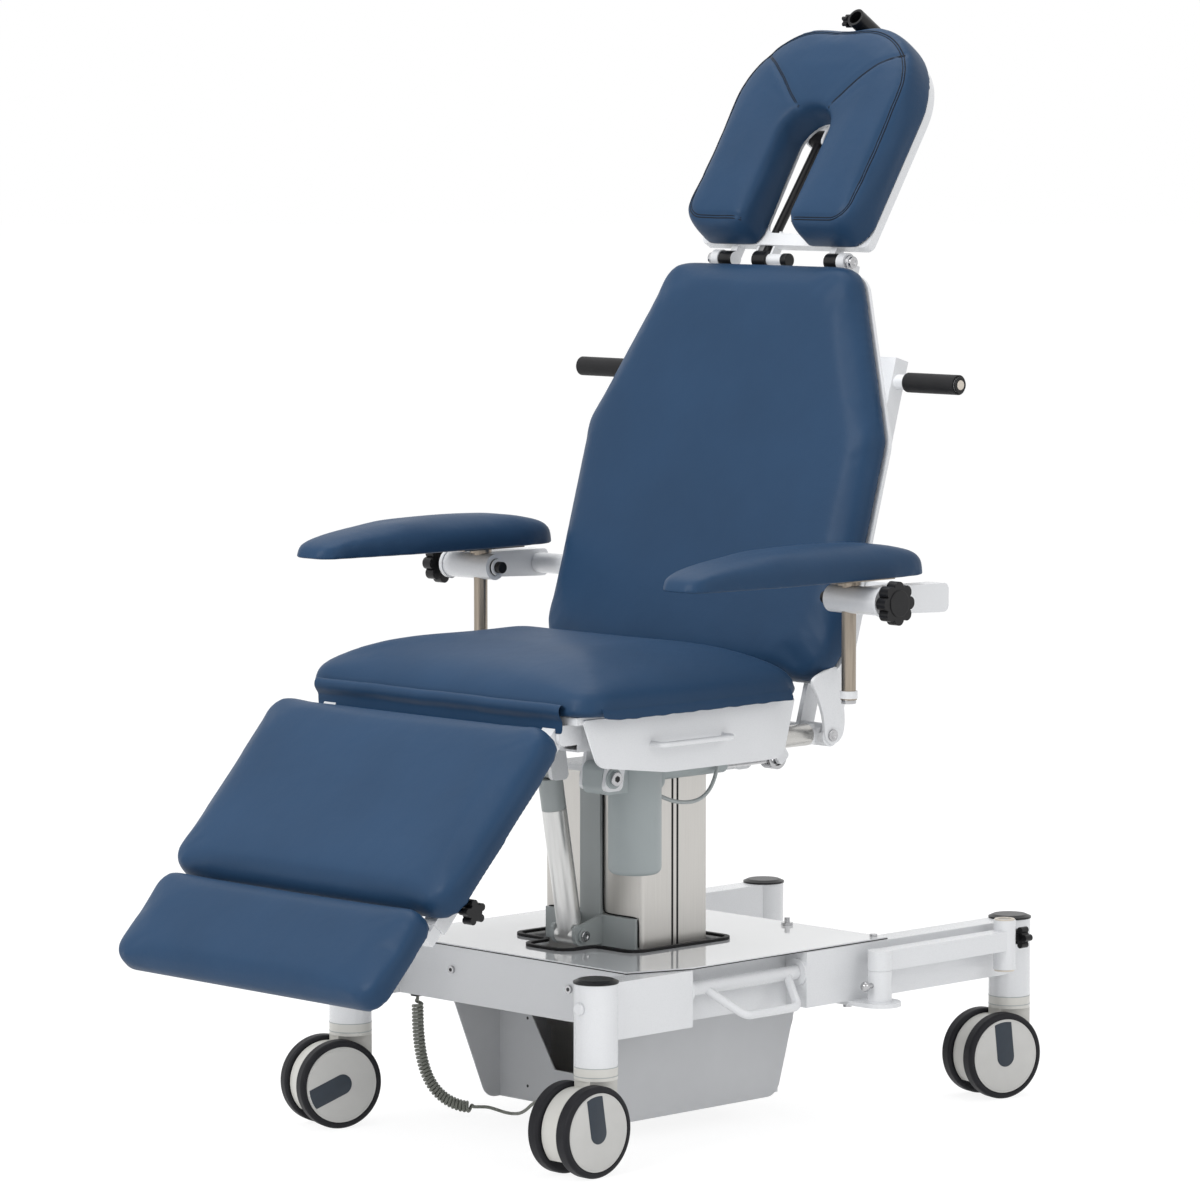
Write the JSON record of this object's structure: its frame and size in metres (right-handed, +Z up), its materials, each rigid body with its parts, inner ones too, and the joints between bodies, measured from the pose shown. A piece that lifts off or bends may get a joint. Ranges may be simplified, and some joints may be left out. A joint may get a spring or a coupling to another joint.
{
  "type": "procedure chair",
  "caption": "Powered procedure chair with a horseshoe headrest, reclining back, leg and foot rests, adjustable arm pads and a castored base with a lifting column.",
  "frame": {"origin": "middle of the footprint box on the floor", "axes": "+Z up, the sitter faces -Y; right in the names is +X, as seen from in front"},
  "size_m": [0.9246, 1.301, 1.5698],
  "materials": {
    "white_paint": "smooth gloss powder coat",
    "cover_white": "glossy plate",
    "tray_grey": "satin sheet",
    "stainless": "brushed along the column",
    "steel_post": "brushed, slightly warm",
    "bright_steel": "bright fasteners",
    "aluminium": "anodised tube",
    "bracket_grey": "satin grey",
    "motor_grey": "moulded, fine texture",
    "castor_shell": "moulded light grey",
    "castor_wheel": "dark tread with a pale disc",
    "black_plastic": "moulded, semi gloss",
    "rubber": "matt rubber",
    "navy_vinyl": "fine grained coated upholstery",
    "control_dark": "matt",
    "cord_grey": "soft cord jacket"
  },
  "bodies": {
    "chassis": {"front_legs": "white_paint", "rear_legs": "white_paint", "stem_caps": "black_plastic", "chassis_frame": "white_paint", "cover_plate": "cover_white", "cover_edging": "rubber", "shield_tray": "tray_grey", "control_box": "control_dark", "column_inner": "stainless", "chassis_screws": "bright_steel", "pole_holder": "white_paint", "cord_glands": "black_plastic", "cord_coil": "cord_grey", "cord_tail": "cord_grey"},
    "brake_left": {"brake_pedal_left": "white_paint"},
    "brake_right": {"brake_pedal_right": "white_paint"},
    "pole_arm": {"pole_arm": "white_paint"},
    "pole_knob": {"pole_knob": "black_plastic"},
    "plunger": {"index_plunger": "bright_steel"},
    "lift": {"column_outer": "stainless", "column_head": "white_paint", "column_bracket": "bracket_grey"},
    "tilt_tube": {"tilt_tube": "aluminium"},
    "tilt_rod": {"tilt_rod": "bracket_grey"},
    "seat": {"seat_frame": "white_paint", "side_panels": "white_paint", "seat_pad": "navy_vinyl", "front_strip": "navy_vinyl", "back_actuator": "motor_grey"},
    "back_rod": {"back_actuator_rod": "bright_steel"},
    "back": {"back_frame": "white_paint", "back_shell": "white_paint", "back_pad": "navy_vinyl", "push_grips": "rubber"},
    "head": {"head_frame": "white_paint", "head_pad": "navy_vinyl", "head_strut": "black_plastic", "accessory_tube": "black_plastic"},
    "head_knob": {"head_knob": "black_plastic"},
    "leg": {"leg_frame": "white_paint", "leg_pad": "navy_vinyl"},
    "foot": {"foot_frame": "white_paint", "foot_pad": "navy_vinyl"},
    "foot_knob": {"foot_knob": "black_plastic"},
    "arm_left": {"arm_left": "white_paint"},
    "arm_post_left": {"arm_post_left": "steel_post"},
    "arm_pad_left": {"arm_pad_left": "navy_vinyl"},
    "arm_knob_left": {"arm_knob_left": "black_plastic"},
    "arm_right": {"arm_right": "white_paint"},
    "arm_post_right": {"arm_post_right": "steel_post"},
    "arm_pad_right": {"arm_pad_right": "navy_vinyl"},
    "arm_knob_right": {"arm_knob_right": "black_plastic"},
    "castor_fl": {"castor_hood_fl": "castor_shell"},
    "wheels_fl": {"castor_wheels_fl": "castor_wheel"},
    "castor_fr": {"castor_hood_fr": "castor_shell"},
    "wheels_fr": {"castor_wheels_fr": "castor_wheel"},
    "castor_rl": {"castor_hood_rl": "castor_shell"},
    "wheels_rl": {"castor_wheels_rl": "castor_wheel"},
    "castor_rr": {"castor_hood_rr": "castor_shell"},
    "wheels_rr": {"castor_wheels_rr": "castor_wheel"}
  },
  "joints": [
    {"name": "castor_swivel_fl", "type": "hinge", "parent": "chassis", "child": "castor_fl", "pos_m": [-0.248, -0.22605, 0.136], "axis": [0, 0, 1], "continuous": true},
    {"name": "wheel_spin_fl", "type": "hinge", "parent": "castor_fl", "child": "wheels_fl", "pos_m": [-0.25706, -0.2557, 0.0625], "axis": [0.9563, -0.2924, 0], "continuous": true},
    {"name": "castor_swivel_fr", "type": "hinge", "parent": "chassis", "child": "castor_fr", "pos_m": [0.248, -0.22605, 0.136], "axis": [0, 0, 1], "continuous": true},
    {"name": "wheel_spin_fr", "type": "hinge", "parent": "castor_fr", "child": "wheels_fr", "pos_m": [0.248, -0.25705, 0.0625], "axis": [1, 0, 0], "continuous": true},
    {"name": "castor_swivel_rl", "type": "hinge", "parent": "chassis", "child": "castor_rl", "pos_m": [-0.248, 0.61195, 0.136], "axis": [0, 0, 1], "continuous": true},
    {"name": "wheel_spin_rl", "type": "hinge", "parent": "castor_rl", "child": "wheels_rl", "pos_m": [-0.25338, 0.58142, 0.0625], "axis": [0.9848, -0.1736, 0], "continuous": true},
    {"name": "castor_swivel_rr", "type": "hinge", "parent": "chassis", "child": "castor_rr", "pos_m": [0.248, 0.61195, 0.136], "axis": [0, 0, 1], "continuous": true},
    {"name": "wheel_spin_rr", "type": "hinge", "parent": "castor_rr", "child": "wheels_rr", "pos_m": [0.2405, 0.58187, 0.0625], "axis": [0.9703, -0.2419, 0], "continuous": true},
    {"name": "brake_pedal", "type": "hinge", "parent": "chassis", "child": "brake_right", "pos_m": [0.25, 0.05395, 0.229], "axis": [0, 1, 0], "range_deg": [-12, 12]},
    {"name": "brake_pedal_far", "type": "hinge", "parent": "chassis", "child": "brake_left", "pos_m": [-0.25, 0.05395, 0.229], "axis": [0, 1, 0], "range_deg": [-12, 12]},
    {"name": "pole_arm_swing", "type": "hinge", "parent": "chassis", "child": "pole_arm", "pos_m": [0.3, 0.27895, 0.2], "axis": [0, 0, -1], "range_deg": [0, 90]},
    {"name": "pole_knob_turn", "type": "hinge", "parent": "pole_arm", "child": "pole_knob", "pos_m": [0.3, 0.56395, 0.2383], "axis": [0, 1, 0], "continuous": true},
    {"name": "plunger_pull", "type": "slide", "parent": "chassis", "child": "plunger", "axis": [0, -1, 0], "range_m": [0, 0.006], "stiffness_N_per_m": 900, "springref_m": -0.002},
    {"name": "column_lift", "type": "slide", "parent": "chassis", "child": "lift", "axis": [0, 0, 1], "range_m": [-0.07, 0.23]},
    {"name": "seat_tilt", "type": "hinge", "parent": "lift", "child": "seat", "pos_m": [0, 0.20895, 0.514], "axis": [-1, 0, 0], "range_deg": [0, 12]},
    {"name": "tilt_tube_swing", "type": "hinge", "parent": "lift", "child": "tilt_tube", "pos_m": [0, -0.03405, 0.276], "axis": [-1, 0, 0], "range_deg": [0, 3.18]},
    {"name": "tilt_rod_slide", "type": "slide", "parent": "tilt_tube", "child": "tilt_rod", "axis": [0, -0.1731, 0.9849], "range_m": [0, 0.05778]},
    {"name": "back_recline", "type": "hinge", "parent": "seat", "child": "back", "pos_m": [0, 0.20895, 0.559], "axis": [-1, 0, 0], "range_deg": [-5, 70]},
    {"name": "back_rod_slide", "type": "slide", "parent": "seat", "child": "back_rod", "axis": [0, 1, 0], "range_m": [-0.05745, 0.0042]},
    {"name": "head_tilt", "type": "hinge", "parent": "back", "child": "head", "pos_m": [0, 0.38895, 1.209], "axis": [1, 0, 0], "range_deg": [-40, 25]},
    {"name": "head_knob_turn", "type": "hinge", "parent": "head", "child": "head_knob", "pos_m": [-0.014, 0.54488, 1.5526], "axis": [-1, 0, 0], "continuous": true},
    {"name": "leg_raise", "type": "hinge", "parent": "seat", "child": "leg", "pos_m": [0, -0.27105, 0.595], "axis": [-1, 0, 0], "range_deg": [-25, 47.5]},
    {"name": "foot_extend", "type": "slide", "parent": "leg", "child": "foot", "axis": [0, -0.6756, -0.7373], "range_m": [0, 0.1]},
    {"name": "foot_knob_turn", "type": "hinge", "parent": "leg", "child": "foot_knob", "pos_m": [0.262, -0.47345, 0.38254], "axis": [1, 0, 0], "continuous": true},
    {"name": "arm_swing_left", "type": "hinge", "parent": "back", "child": "arm_left", "pos_m": [-0.4, 0.27144, 0.75647], "axis": [-1, 0, 0], "range_deg": [0, 45]},
    {"name": "arm_height_left", "type": "slide", "parent": "arm_left", "child": "arm_post_left", "axis": [0, 0, 1], "range_m": [0, 0.09]},
    {"name": "pad_swivel_left", "type": "hinge", "parent": "arm_post_left", "child": "arm_pad_left", "pos_m": [-0.3686, 0.13945, 0.79], "axis": [0, 0, 1], "range_deg": [-8, 30]},
    {"name": "arm_knob_turn_left", "type": "hinge", "parent": "arm_left", "child": "arm_knob_left", "pos_m": [-0.45, 0.13945, 0.76], "axis": [-1, 0, 0], "continuous": true},
    {"name": "arm_swing_right", "type": "hinge", "parent": "back", "child": "arm_right", "pos_m": [0.4, 0.27144, 0.75647], "axis": [-1, 0, 0], "range_deg": [0, 45]},
    {"name": "arm_height_right", "type": "slide", "parent": "arm_right", "child": "arm_post_right", "axis": [0, 0, 1], "range_m": [0, 0.09]},
    {"name": "pad_swivel_right", "type": "hinge", "parent": "arm_post_right", "child": "arm_pad_right", "pos_m": [0.3686, 0.13945, 0.79], "axis": [0, 0, -1], "range_deg": [-8, 30]},
    {"name": "arm_knob_turn_right", "type": "hinge", "parent": "arm_right", "child": "arm_knob_right", "pos_m": [0.45, 0.13945, 0.76], "axis": [1, 0, 0], "continuous": true}
  ],
  "couplings": [
    {"joint": "brake_pedal_far", "follows": "brake_pedal", "ratio": -1},
    {"joint": "tilt_tube_swing", "follows": "seat_tilt", "ratio": 0.26388},
    {"joint": "tilt_rod_slide", "follows": "seat_tilt", "m_per_rad": 0.27542},
    {"joint": "back_rod_slide", "follows": "back_recline", "m_per_rad": -0.046941}
  ]
}
